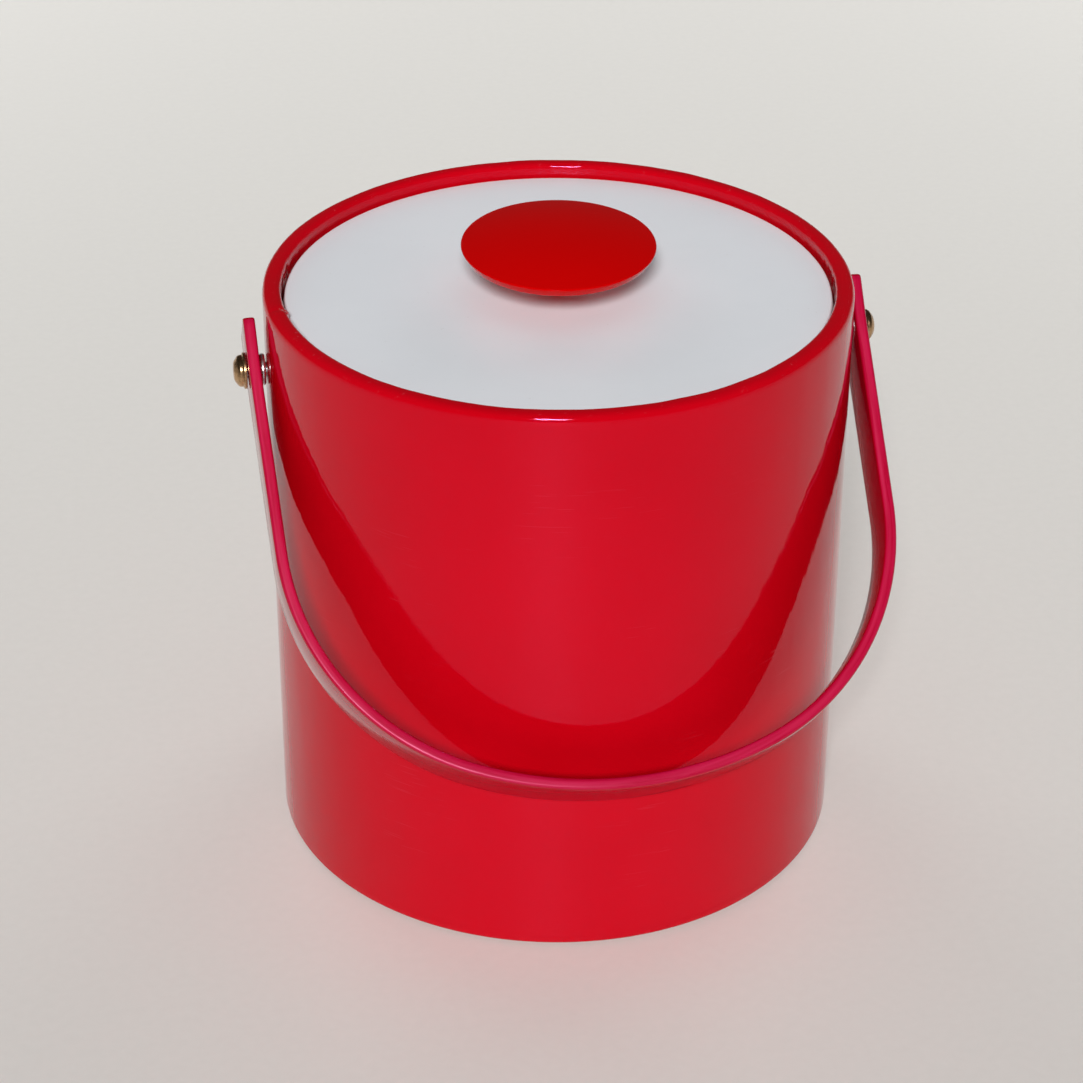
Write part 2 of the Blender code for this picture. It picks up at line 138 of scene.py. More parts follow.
def add_mesh(name, vertices, faces, sharp_angle=math.radians(40.0)):
    """Make an object from points and faces, smooth but for its sharp edges."""
    mesh = bpy.data.meshes.new(name)
    mesh.from_pydata(vertices, [], faces)
    mesh.validate()
    shape = bmesh.new()
    shape.from_mesh(mesh)
    bmesh.ops.recalc_face_normals(shape, faces=shape.faces)
    shape.to_mesh(mesh)
    shape.free()
    mesh.shade_smooth()
    mesh.set_sharp_from_angle(angle=sharp_angle)
    obj = bpy.data.objects.new(name, mesh)
    bpy.context.scene.collection.objects.link(obj)
    return obj


def even_angles(count):
    """Angles that divide a full turn evenly."""
    return [2.0 * math.pi * index / count for index in range(count)]


def lathe(name, outline, angles, closed=True, shift=None):
    """Turn an outline about Z. shift(angle, x, z) returns the point moved to where it really is.

    An open outline starts and ends on the axis, where a ring is a single point.
    """
    vertices = []
    rings = []
    for index, (x, z) in enumerate(outline):
        on_axis = not closed and index in (0, len(outline) - 1)
        ring = []
        for angle in angles[:1] if on_axis else angles:
            new_x, new_z = shift(angle, x, z) if shift else (x, z)
            ring.append(len(vertices))
            vertices.append((new_x * math.cos(angle), new_x * math.sin(angle), new_z))
        rings.append(ring * len(angles) if on_axis else ring)
    faces = []
    pairs = list(zip(rings, rings[1:]))
    if closed:
        pairs.append((rings[-1], rings[0]))
    for ring, next_ring in pairs:
        for index in range(len(angles)):
            after = (index + 1) % len(angles)
            corners = [ring[index], next_ring[index], next_ring[after], ring[after]]
            unique = [corner for place, corner in enumerate(corners) if corner not in corners[:place]]
            faces.append(unique)
    return add_mesh(name, vertices, faces)


def lay_along_x(obj, side):
    """Turn a piece made about Z so that its Z points out along the pivot axis."""
    turn = Matrix.Rotation(side * math.pi / 2.0, 4, "Y")
    obj.data.transform(Matrix.Translation((0.0, 0.0, PIVOT_HEIGHT)) @ turn)


def unevenness(direction, z, across, along, start=0.0):
    """Smooth noise between -1 and 1 that varies round the axis and with height, each at its own rate."""
    return noise.noise(Vector((direction.x * across, direction.y * across, z * along + start)))


def cut_away(obj, shape, sharp_angle, use_self=False):
    """Cut a bmesh's solids out of an object, leave the result on its mesh and free the bmesh."""
    mesh = bpy.data.meshes.new("cutter")
    shape.to_mesh(mesh)
    shape.free()
    cutter = bpy.data.objects.new("cutter", mesh)
    bpy.context.scene.collection.objects.link(cutter)
    cut = obj.modifiers.new("Cut", "BOOLEAN")
    cut.operation = "DIFFERENCE"
    cut.solver = "EXACT"
    cut.use_self = use_self
    cut.object = cutter
    bpy.context.view_layer.update()
    evaluated = obj.evaluated_get(bpy.context.evaluated_depsgraph_get())
    result = bpy.data.meshes.new_from_object(evaluated)
    obj.modifiers.remove(cut)
    obj.data = result
    bpy.data.objects.remove(cutter, do_unlink=True)
    obj.data.shade_smooth()
    obj.data.set_sharp_from_angle(angle=sharp_angle)


def drill_pivots(obj):
    """Cut the pivot screws' holes through both sides of an object."""
    rod = bmesh.new()
    bmesh.ops.create_cone(rod, cap_ends=True, segments=40, radius1=PIVOT_HOLE, radius2=PIVOT_HOLE,
                          depth=3.0 * WALL_RADIUS)
    lie_down = Matrix.Translation((0.0, 0.0, PIVOT_HEIGHT)) @ Matrix.Rotation(math.pi / 2.0, 4, "Y")
    bmesh.ops.transform(rod, matrix=lie_down, verts=rod.verts)
    cut_away(obj, rod, math.radians(50.0))


# ---------------------------------------------------------------- materials

class Material:
    """A node material in the making. Its methods add nodes and return their outputs.

    Textures are read in the frame's axes, so their scales are per metre.
    """

    def __init__(self, name):
        self.material = bpy.data.materials.new(name)
        self.material.use_nodes = True
        self.nodes = self.material.node_tree.nodes
        self.links = self.material.node_tree.links
        self.shader = self.nodes["Principled BSDF"]
        self.place = self.add("ShaderNodeTexCoord").outputs["Object"]

    def add(self, kind, settings=None, **inputs):
        node = self.nodes.new(kind)
        for key, value in (settings or {}).items():
            setattr(node, key, value)
        for key, value in inputs.items():
            self.plug(node.inputs[key.replace("_", " ")], value)
        return node

    def plug(self, socket, value):
        if isinstance(value, bpy.types.NodeSocket):
            self.links.new(value, socket)
        else:
            socket.default_value = value

    def stretch(self, scale, place=None):
        node = self.add("ShaderNodeMapping", Scale=scale)
        self.plug(node.inputs["Vector"], place or self.place)
        return node.outputs["Vector"]

    def noise(self, scale, detail=3.0, roughness=0.5, place=None, distortion=0.0):
        node = self.add("ShaderNodeTexNoise", Scale=scale, Detail=detail, Roughness=roughness,
                        Distortion=distortion)
        self.plug(node.inputs["Vector"], place or self.place)
        return node.outputs["Fac"]

    def cells(self, scale):
        node = self.add("ShaderNodeTexVoronoi", Scale=scale)
        self.plug(node.inputs["Vector"], self.place)
        return node.outputs["Distance"]

    def remap(self, value, low, high, to_low=0.0, to_high=1.0):
        node = self.add("ShaderNodeMapRange", {"interpolation_type": "SMOOTHSTEP"})
        for index, number in enumerate((value, low, high, to_low, to_high)):
            self.plug(node.inputs[index], number)
        return node.outputs["Result"]

    def calc(self, operation, first, second=0.0):
        node = self.add("ShaderNodeMath", {"operation": operation})
        self.plug(node.inputs[0], first)
        self.plug(node.inputs[1], second)
        return node.outputs[0]

    def axis(self, index, place=None):
        node = self.add("ShaderNodeSeparateXYZ")
        self.plug(node.inputs[0], place or self.place)
        return node.outputs[index]

    def length(self, first, second):
        """The length of the vector that has these two parts at a right angle."""
        squares = [self.calc("MULTIPLY", part, part) for part in (first, second)]
        return self.calc("SQRT", self.calc("ADD", *squares))

    def mix(self, share, first, second):
        node = self.add("ShaderNodeMix", {"data_type": "RGBA"})
        self.plug(node.inputs["Factor"], share)
        self.plug(node.inputs["A"], (*first, 1.0) if isinstance(first, tuple) else first)
        self.plug(node.inputs["B"], (*second, 1.0) if isinstance(second, tuple) else second)
        return node.outputs["Result"]

    def mix_numbers(self, share, first, second):
        node = self.add("ShaderNodeMix", {"data_type": "FLOAT"})
        for index, value in ((0, share), (2, first), (3, second)):
            self.plug(node.inputs[index], value)
        return node.outputs[0]

    def attribute(self, name):
        return self.add("ShaderNodeAttribute", {"attribute_name": name}).outputs["Vector"]

    def bump(self, height, distance, normal=None):
        node = self.add("ShaderNodeBump", Height=height, Distance=distance, Strength=1.0)
        if normal is not None:
            self.plug(node.inputs["Normal"], normal)
        return node.outputs["Normal"]

    def finish(self, colour, roughness, normal=None, **fixed):
        """Plug the shader in, and set the inputs that are the same all over the surface."""
        self.plug(self.shader.inputs["Base Color"], colour)
        self.plug(self.shader.inputs["Roughness"], roughness)
        if normal is not None:
            self.plug(self.shader.inputs["Normal"], normal)
        for key, value in fixed.items():
            self.shader.inputs[key.replace("_", " ")].default_value = value
        return self.material


def rim_wear(mat, rim_top):
    """Small worn spots along the top of the rim."""
    near_rim = mat.remap(mat.axis(2), rim_top - 2.6 * MM, rim_top - 0.4 * MM)
    spots = mat.remap(mat.noise(420.0, 3.0, 0.7), 0.62, 0.75)
    return mat.calc("MULTIPLY", near_rim, spots)


def seam_threads(mat, rim_inner):
    """Where the cut end of the vinyl shows its pale backing in threads, inside the rim."""
    turn = mat.calc("ARCTAN2", mat.axis(1), mat.axis(0))
    # The arctangent runs from minus to plus half a turn, and the seam is past half a turn.
    from_seam = mat.calc("ABSOLUTE", mat.calc("SUBTRACT", turn, SEAM_ANGLE - 2.0 * math.pi))
    near_seam = mat.remap(from_seam, 1.5 * MM / rim_inner, 0.2 * MM / rim_inner)
    radius = mat.length(mat.axis(0), mat.axis(1))
    inside = mat.remap(radius, rim_inner + 2.6 * MM, rim_inner + 1.0 * MM)
    threads = mat.remap(mat.noise(1.0, 3.0, 0.7, mat.stretch((700.0, 2200.0, 420.0))), 0.46, 0.60)
    return mat.calc("MULTIPLY", mat.calc("MULTIPLY", near_seam, inside), threads)


def patent_vinyl(rim_top, rim_inner):
    """Glossy red vinyl: faint telegraphing of the board, orange peel, smudges and fine scuffs."""
    mat = Material("patent_vinyl")
    tone = mat.noise(14.0, 4.0, 0.6)
    colour = mat.mix(mat.remap(tone, 0.3, 0.7), (0.535, 0.0004, 0.0060), (0.565, 0.0006, 0.0075))
    scuff_lines = mat.noise(1.0, 1.0, 0.5, mat.stretch((55.0, 75.0, 2400.0)))
    scuff_area = mat.noise(24.0, 2.0)
    scuff = mat.calc("MULTIPLY", mat.remap(scuff_lines, 0.68, 0.74), mat.remap(scuff_area, 0.58, 0.66))
    marks = mat.calc("MAXIMUM", mat.calc("MULTIPLY", scuff, 0.7), rim_wear(mat, rim_top))
    colour = mat.mix(mat.calc("MULTIPLY", marks, 0.25), colour, (0.70, 0.09, 0.12))
    frayed = seam_threads(mat, rim_inner)
    colour = mat.mix(frayed, colour, (0.72, 0.50, 0.52))
    smudge = mat.noise(38.0, 5.0, 0.65, mat.stretch((1.0, 1.0, 0.5)))
    dulled = mat.calc("MULTIPLY", mat.calc("MAXIMUM", marks, frayed), 0.25)
    roughness = mat.calc("ADD", mat.remap(smudge, 0.35, 0.8, 0.03, 0.10), dulled)
    waves = mat.noise(95.0, 2.0, 0.45, mat.stretch((1.0, 1.0, 0.32)))
    normal = mat.bump(waves, 0.14 * MM)
    peel = mat.noise(420.0, 2.0, 0.5, mat.stretch((1.0, 1.0, 0.7)))
    normal = mat.bump(peel, 0.016 * MM, normal)
    normal = mat.bump(mat.calc("MULTIPLY", scuff, -1.0), 0.003 * MM, normal)
    return mat.finish(colour, roughness, normal, Specular_IOR_Level=0.28,
                      Specular_Tint=(1.0, 0.4, 0.85, 1.0))


def strap_acrylic():
    """Red acrylic strip: polished faces, satin sawn edges with fine lengthwise streaks and a painted sheen.
    """
    mat = Material("strap_acrylic")
    across = mat.calc("ABSOLUTE", mat.axis(1, mat.attribute("strap")))
    edge = mat.remap(across, 0.94, 0.975)
    streaks = mat.noise(1.0, 4.0, 0.6, mat.stretch((30.0, 700.0, 700.0), mat.attribute("strap_metres")))
    tone = mat.noise(16.0, 3.0)
    face_colour = mat.mix(tone, (0.41, 0.0006, 0.011), (0.47, 0.0010, 0.016))
    # The edges are a lighter, bluer red than the faces: partly their satin finish, partly a painted sheen.
    edge_colour_and_sheen = mat.mix(mat.remap(streaks, 0.3, 0.7), (0.43, 0.0015, 0.031), (0.52, 0.0050, 0.054))
    colour = mat.mix(edge, face_colour, edge_colour_and_sheen)
    smudge = mat.noise(45.0, 4.0, 0.6)
    face_roughness = mat.remap(smudge, 0.35, 0.75, 0.06, 0.14)
    edge_roughness = mat.remap(streaks, 0.3, 0.7, 0.26, 0.40)
    roughness = mat.mix_numbers(edge, face_roughness, edge_roughness)
    normal = mat.bump(mat.calc("MULTIPLY", streaks, edge), 0.04 * MM)
    normal = mat.bump(mat.noise(120.0, 2.0), 0.02 * MM, normal)
    return mat.finish(colour, roughness, normal, Specular_IOR_Level=0.5,
                      Specular_Tint=(1.0, 0.45, 0.70, 1.0))


def knob_plastic():
    """The knob's polished red plastic, with faint swirls, smudges and hairline scratches."""
    mat = Material("knob_plastic")
    colour = mat.mix(mat.noise(30.0, 3.0), (0.56, 0.0003, 0.0004), (0.60, 0.0004, 0.0006))
    smudge = mat.noise(60.0, 4.0, 0.6)
    hairs = mat.remap(mat.noise(1.0, 1.0, 0.5, mat.stretch((90.0, 3000.0, 3000.0))), 0.70, 0.76)
    roughness = mat.calc("ADD", mat.remap(smudge, 0.35, 0.8, 0.05, 0.14), mat.calc("MULTIPLY", hairs, 0.1))
    normal = mat.bump(mat.noise(70.0, 2.0), 0.015 * MM)
    return mat.finish(colour, roughness, normal, Specular_IOR_Level=0.15,
                      Specular_Tint=(1.0, 0.35, 0.45, 1.0))


def satin_laminate():
    """The lid's cool white sheet: a fine pebble, a faint mottle and a few dull rubbed areas."""
    mat = Material("satin_laminate")
    mottle = mat.noise(26.0, 5.0, 0.6)
    colour = mat.mix(mat.remap(mottle, 0.3, 0.7), (0.845, 0.875, 0.915), (0.865, 0.895, 0.935))
    specks = mat.remap(mat.noise(700.0, 1.0, 0.5), 0.76, 0.82)
    colour = mat.mix(mat.calc("MULTIPLY", specks, 0.2), colour, (0.55, 0.54, 0.53))
    roughness = mat.remap(mat.noise(20.0, 3.0, 0.5), 0.25, 0.75, 0.30, 0.35)
    normal = mat.bump(mat.noise(750.0, 2.0), 0.008 * MM)
    normal = mat.bump(mat.noise(28.0, 1.0), 0.03 * MM, normal)
    return mat.finish(colour, roughness, normal)


def moulded_plastic():
    """White moulded plastic with flow marks and a light scatter of scratches."""
    mat = Material("moulded_plastic")
    flow = mat.noise(9.0, 4.0, 0.55, mat.stretch((1.0, 1.0, 0.25)), 0.8)
    colour = mat.mix(mat.remap(flow, 0.3, 0.7), (0.70, 0.70, 0.675), (0.77, 0.77, 0.75))
    scratch = mat.remap(mat.noise(1.0, 2.0, 0.5, mat.stretch((1500.0, 1500.0, 70.0))), 0.67, 0.74)
    roughness = mat.calc("ADD", mat.remap(flow, 0.3, 0.7, 0.24, 0.36), mat.calc("MULTIPLY", scratch, 0.15))
    colour = mat.mix(mat.calc("MULTIPLY", scratch, 0.2), colour, (0.55, 0.55, 0.53))
    normal = mat.bump(mat.noise(240.0, 3.0), 0.02 * MM)
    normal = mat.bump(mat.calc("MULTIPLY", scratch, -1.0), 0.01 * MM, normal)
    return mat.finish(colour, roughness, normal)


def metal(name, clean, tarnished, roughness_range, patch_scale):
    """Plated metal with tarnish in patches, fine turning marks and handling wear."""
    mat = Material(name)
    patches = mat.remap(mat.noise(patch_scale, 5.0, 0.65), 0.42, 0.68)
    colour = mat.mix(patches, clean, tarnished)
    roughness = mat.remap(mat.noise(patch_scale * 2.0, 4.0), 0.3, 0.7, *roughness_range)
    # Turned pieces carry rings about the pivot axis, read from the distance to that axis.
    ring_spacing = 0.22 * MM
    radius = mat.length(mat.axis(1), mat.calc("SUBTRACT", mat.axis(2), PIVOT_HEIGHT))
    rings = mat.calc("SINE", mat.calc("MULTIPLY", radius, 2.0 * math.pi / ring_spacing))
    normal = mat.bump(rings, 0.0006 * MM)
    normal = mat.bump(mat.noise(900.0, 2.0), 0.004 * MM, normal)
    return mat.finish(colour, roughness, normal, Metallic=1.0)


def fibreboard():
    """Brown board with its fibres lying level."""
    mat = Material("fibreboard")
    fibres = mat.noise(1.0, 6.0, 0.7, mat.stretch((260.0, 260.0, 900.0)))
    colour = mat.mix(fibres, (0.20, 0.125, 0.07), (0.36, 0.25, 0.155))
    return mat.finish(colour, mat.remap(fibres, 0.2, 0.8, 0.75, 0.95), mat.bump(fibres, 0.12 * MM))


def bead_foam():
    """White foam of pressed beads, with painted shade in the hollows between them."""
    mat = Material("bead_foam")
    beads = mat.cells(330.0)
    # The colour darkens towards each bead's edge, where the bump sinks: painted shade in the hollows between
    # beads.
    colour = mat.mix(mat.remap(beads, 0.2, 0.75), (0.86, 0.86, 0.84), (0.70, 0.70, 0.68))
    return mat.finish(colour, mat.remap(beads, 0.0, 0.8, 0.65, 0.9),
                      mat.bump(mat.calc("MULTIPLY", beads, -1.0), 0.5 * MM))


def felt():
    """Near-black felt, matted in clumps."""
    mat = Material("felt")
    fibres = mat.noise(1100.0, 6.0, 0.75)
    clumps = mat.noise(120.0, 4.0, 0.6)
    colour = mat.mix(mat.calc("MULTIPLY", fibres, clumps), (0.012, 0.012, 0.013), (0.075, 0.072, 0.07))
    return mat.finish(colour, mat.remap(fibres, 0.2, 0.8, 0.85, 1.0), mat.bump(fibres, 0.25 * MM),
                      Sheen_Weight=0.25, Sheen_Roughness=0.5)


def pale_floor():
    """The studio floor, warm and pale, with a fine grain."""
    mat = Material("pale_floor")
    grain = mat.noise(260.0, 3.0)
    colour = mat.mix(grain, (0.78, 0.765, 0.73), (0.82, 0.805, 0.77))
    return mat.finish(colour, mat.remap(grain, 0.3, 0.7, 0.44, 0.49), Specular_IOR_Level=0.22)


# ---------------------------------------------------------------- bucket body

SEAM_ANGLE = math.radians(186.0)    # the vinyl's overlapping end, beside the left pivot
SEAM_STEP = 0.09 * MM               # rise of the overlap
SEAM_FADE = 14.0 * MM               # how far behind the seam the overlap dies away
FOLD_WIDTH = 1.4 * MM               # the small fold at the seam, inside the rim
FOLD_DEPTH = 0.9 * MM
VINYL = 1.0 * MM                    # thickness of the covering
TURN_UNDER = 16.0 * MM              # width of the vinyl turned in under the base
RIM_ROUND = 3.0 * MM


def seam_angles(count):
    """Even angles round the wall, with close ones added where the seam steps."""
    steps_mm = (-0.6, -0.25, -0.1, 0.0, 0.1, 0.25, 0.6)
    extra = [SEAM_ANGLE + step * MM / WALL_RADIUS for step in steps_mm]
    near = 1.2 * MM / WALL_RADIUS
    kept = [angle for angle in even_angles(count) if abs(angle - SEAM_ANGLE) > near]
    return sorted(kept + extra)


def make_vinyl():
    """The vinyl skin with its soft unevenness, wrinkled inner lip and overlapped seam."""
    low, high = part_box("vinyl_wrap")
    wall = high.x
    rim_top = high.z
    lip_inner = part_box("inner_liner")[1].x + GAP
    outline = divided(rounded([
        (wall, rim_top, RIM_ROUND),
        (wall, low.z, 1.2 * MM),
        (wall - TURN_UNDER, low.z, 0.3 * MM),
        (wall - TURN_UNDER, low.z + VINYL, 0.3 * MM),
        (wall - VINYL, low.z + VINYL, 0.0),
        (wall - VINYL, rim_top - VINYL, RIM_ROUND - VINYL),
        (lip_inner + VINYL, rim_top - VINYL, 0.0),
        (lip_inner + VINYL, LIP_BOTTOM, 0.0),
        (lip_inner, LIP_BOTTOM, 0.3 * MM),
        (lip_inner, rim_top, 2.1 * MM),
    ]), 1.5 * MM)

    def shift(angle, x, z):
        direction = Vector((math.cos(angle), math.sin(angle), 0.0))
        past_seam = (angle - SEAM_ANGLE) * wall
        fold = math.exp(-(past_seam / FOLD_WIDTH) ** 2)
        # Outside, the board shows through faintly. The wall stays just inside its CAD radius.
        outer_side = smoothstep(wall - 0.7 * MM, wall - 0.2 * MM, x)
        telegraph = unevenness(direction * wall, z, 85.0, 11.0)
        lumps = unevenness(direction * wall, z, 34.0, 30.0, 9.0)
        offset = outer_side * (0.045 * telegraph + 0.06 * lumps - 0.10) * MM
        # The overlap steps up sharply at the seam and dies away behind it.
        overlap = smoothstep(-0.12 * MM, 0.12 * MM, past_seam) * (1.0 - smoothstep(0.0, SEAM_FADE, past_seam))
        offset += outer_side * overlap * SEAM_STEP
        # The lip inside the rim is gathered, so it wrinkles more the further down it goes.
        lip = smoothstep(lip_inner + 0.6 * MM, lip_inner + 0.1 * MM, x)
        depth = smoothstep(rim_top - 1.0 * MM, rim_top - 5.0 * MM, z)
        wrinkle = unevenness(direction, z, 30.0, 60.0)
        fine = unevenness(direction, z, 85.0, 160.0)
        offset += lip * (0.10 + 0.22 * wrinkle + 0.10 * fine) * (0.45 + 0.55 * depth) * MM
        offset -= lip * fold * FOLD_DEPTH
        # The top of the rim dips and sways a little.
        on_top = smoothstep(rim_top - 1.2 * MM, rim_top - 0.3 * MM, z)
        sway = unevenness(direction, 0.0, 9.0, 0.0, 4.0)
        drop = on_top * (0.12 + 0.16 * sway + 0.05 * fine + 0.25 * fold) * MM
        return x + offset, z - drop

    skin = lathe("vinyl_skin", outline, seam_angles(420), shift=shift)
    drill_pivots(skin)
    skin.data.materials.append(patent_vinyl(rim_top, lip_inner))
    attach(skin, "bucket")
    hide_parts("vinyl_wrap")


def make_liner(material):
    """The white liner, with its flange, turned-down skirt and a moulded ring on its floor."""
    low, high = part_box("inner_liner")
    outer = high.x
    top = high.z
    wall = 2.0 * MM
    skirt = 1.5 * MM
    floor = low.z + wall
    base_radius = 80.0 * MM
    top_radius = 86.0 * MM
    ring_radius = 56.0 * MM
    ring_half_width = 2.0 * MM
    ring_rise = 0.8 * MM
    outline = divided(rounded([
        (0.0, floor, 0.0),
        (ring_radius - ring_half_width, floor, 0.0),
        (ring_radius, floor + ring_rise, ring_rise),
        (ring_radius + ring_half_width, floor, 0.0),
        (base_radius - wall, floor, 7.0 * MM),
        (top_radius - wall, top, 1.5 * MM),
        (outer, top, 0.8 * MM),
        (outer, LIP_BOTTOM, 0.3 * MM),
        (outer - skirt, LIP_BOTTOM, 0.3 * MM),
        (outer - skirt, top - wall, 0.3 * MM),
        (top_radius, top - wall, 0.5 * MM),
        (base_radius, low.z, 9.0 * MM),
        (0.0, low.z, 0.0),
    ], closed=False), 6.0 * MM, closed=False)
    liner = lathe("liner", outline, even_angles(180), closed=False)
    liner.data.materials.append(material)
    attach(liner, "bucket")
    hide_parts("inner_liner")


def make_pad(material):
    """The felt pad under the base, with a soft pressed edge."""
    low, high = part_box("base_pad")

    def shift(angle, x, z):
        """The cut edge wanders a little."""
        direction = Vector((math.cos(angle), math.sin(angle), 0.0))
        inset = (0.4 + 0.35 * unevenness(direction, 0.0, 40.0, 0.0, 1.0)) * MM
        return x - smoothstep(high.x - 2.0 * MM, high.x, x) * inset, z

    outline = divided(rounded([
        (0.0, high.z, 0.0),
        (high.x, high.z, 0.3 * MM),
        (high.x, low.z, 0.25 * MM),
        (0.0, low.z, 0.0),
    ], closed=False), 8.0 * MM, closed=False)
    pad = lathe("felt_pad", outline, even_angles(240), closed=False, shift=shift)
    pad.data.materials.append(material)
    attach(pad, "bucket")
    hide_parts("base_pad")


def pivot_piece_sizes(node):
    """A turned pivot piece's near and far distance from the middle, and its radius."""
    low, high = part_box(node)
    near, far = sorted((abs(low.x), abs(high.x)))
    return near, far, (high.z - low.z) / 2.0


def make_cap(suffix, side, brass):
    """A domed cap nut with a rolled rim, outside the bail."""
    inner, outer, radius = pivot_piece_sizes("dome_cap_" + suffix)
    bore_depth = 3.0 * MM
    cap = lathe("cap_" + suffix, divided(rounded([
        (0.0, outer, 0.0),
        (radius * 0.5, outer - 0.2 * MM, 2.5 * MM),
        (radius - 0.7 * MM, outer - 1.9 * MM, 1.6 * MM),
        (radius - 0.8 * MM, inner + 1.3 * MM, 0.25 * MM),
        (radius, inner + 0.9 * MM, 0.35 * MM),
        (radius, inner, 0.2 * MM),
        (PIVOT_HOLE, inner, 0.0),
        (PIVOT_HOLE, inner + bore_depth, 0.0),
        (0.0, inner + bore_depth, 0.0),
    ], closed=False), 0.5 * MM, closed=False), even_angles(64), closed=False)
    lay_along_x(cap, side)
    cap.data.materials.append(brass)
    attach(cap, "bucket")
    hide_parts("dome_cap_" + suffix)


def make_spacer(suffix, side, chrome):
    """A spacer with a full round edge, between the wall and the bail."""
    inner, outer, radius = pivot_piece_sizes("spacer_" + suffix)
    face = radius - 0.5 * MM
    spacer = lathe("washer_" + suffix, rounded([
        (PIVOT_HOLE, outer, 0.15 * MM),
        (face, outer, 0.4 * MM),
        (radius, (inner + outer) / 2.0, 1.2 * MM),
        (face, inner, 0.4 * MM),
        (PIVOT_HOLE, inner, 0.1 * MM),
    ]), even_angles(64))
    lay_along_x(spacer, side)
    spacer.data.materials.append(chrome)
    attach(spacer, "bucket")
    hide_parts("spacer_" + suffix)


# ---------------------------------------------------------------- bail

# A flat strip bent to a U. Drop is measured down the U from the pivot axis.
BAIL_THICKNESS = 4.0 * MM
BAIL_WIDTH = 21.6 * MM
BAIL_HALF_SPAN = 104.4 * MM             # from the middle to a leg's centre line at the pivot
BAIL_TAIL = 15.7 * MM                   # part of the leg above the pivot
BAIL_LEG = 67.2 * MM                    # straight part of the leg below the pivot
BAIL_LEG_LEAN = math.radians(-1.25)     # the legs draw in slightly as they go down
BAIL_SHOULDER_RADIUS = 85.2 * MM
BAIL_SHOULDER_TURN = math.radians(67.5)
BAIL_SKEW = 0.02                        # sideways lean of the bent strip per unit of drop
BAIL_HANG = math.radians(45.35)         # swing of the hanging bail away from straight down
BAIL_EDGE = 1.2 * MM                    # rounding of the strip's long edges
BAIL_CORNER = 2.4 * MM                  # rounding of the corners at its ends
BAIL_END_EDGE = 0.5 * MM                # rounding of the faces at its ends
BAIL_END_STATIONS = (0.0, 0.15 * MM, 0.4 * MM, 0.8 * MM)
BAIL_STATION_STEP = 1.6 * MM
BAIL_EDGE_STEPS = 5                     # segments in each rounded long edge


def bail_centre_line():
    """Stations (across, drop, heading, distance along) down the right leg and up the left."""
    length = BAIL_LEG + BAIL_TAIL
    steps = math.ceil(length / BAIL_STATION_STEP)
    line = []
    for distance in [*BAIL_END_STATIONS, *(length * step / steps for step in range(1, steps + 1))]:
        along = distance - BAIL_TAIL
        line.append((BAIL_HALF_SPAN + along * math.sin(BAIL_LEG_LEAN),
                     along * math.cos(BAIL_LEG_LEAN), BAIL_LEG_LEAN, distance))
    across, drop, _, distance = line[-1]
    centre_across = across - BAIL_SHOULDER_RADIUS * math.cos(BAIL_LEG_LEAN)
    centre_drop = drop + BAIL_SHOULDER_RADIUS * math.sin(BAIL_LEG_LEAN)
    turn_end = BAIL_LEG_LEAN - BAIL_SHOULDER_TURN
    across = centre_across + BAIL_SHOULDER_RADIUS * math.cos(turn_end)
    drop = centre_drop - BAIL_SHOULDER_RADIUS * math.sin(turn_end)
    bottom_radius = across / math.cos(turn_end)
    bottom_drop = drop + bottom_radius * math.sin(turn_end)
    arcs = [
        (centre_across, centre_drop, BAIL_SHOULDER_RADIUS, BAIL_LEG_LEAN, turn_end),
        (0.0, bottom_drop, bottom_radius, turn_end, -math.pi / 2.0),
    ]
    for arc_across, arc_drop, radius, start, end in arcs:
        steps = math.ceil(radius * (start - end) / BAIL_STATION_STEP)
        for step in range(1, steps + 1):
            heading = start + (end - start) * step / steps
            distance += radius * (start - end) / steps
            line.append((arc_across + radius * math.cos(heading),
                         arc_drop - radius * math.sin(heading), heading, distance))
    middle = line[-1][3]
    mirrored = [(-across, drop, -math.pi - heading, 2.0 * middle - distance)
                for across, drop, heading, distance in reversed(line[:-1])]
    return line + mirrored


def rounding_trim(radius, end_distance):
    """How much a rounding of this radius takes off a side, this far from the strip's end."""
    gap = max(radius - end_distance, 0.0)
    return radius - math.sqrt(radius ** 2 - gap ** 2)


def bail_section(end_distance):
    """The strip's (through, across) outline: round edges, and narrower and thinner at its ends."""
    half_thick = BAIL_THICKNESS / 2.0 - rounding_trim(BAIL_END_EDGE, end_distance)
    half_wide = BAIL_WIDTH / 2.0 - rounding_trim(BAIL_CORNER, end_distance)
    points = []
    for quarter in range(4):
        sign_thick = 1.0 if quarter in (0, 3) else -1.0
        sign_wide = 1.0 if quarter in (0, 1) else -1.0
        for step in range(BAIL_EDGE_STEPS + 1):
            angle = (quarter + step / BAIL_EDGE_STEPS) * math.pi / 2.0
            points.append((sign_thick * (half_thick - BAIL_EDGE) + BAIL_EDGE * math.cos(angle),
                           sign_wide * (half_wide - BAIL_EDGE) + BAIL_EDGE * math.sin(angle)))
    return points


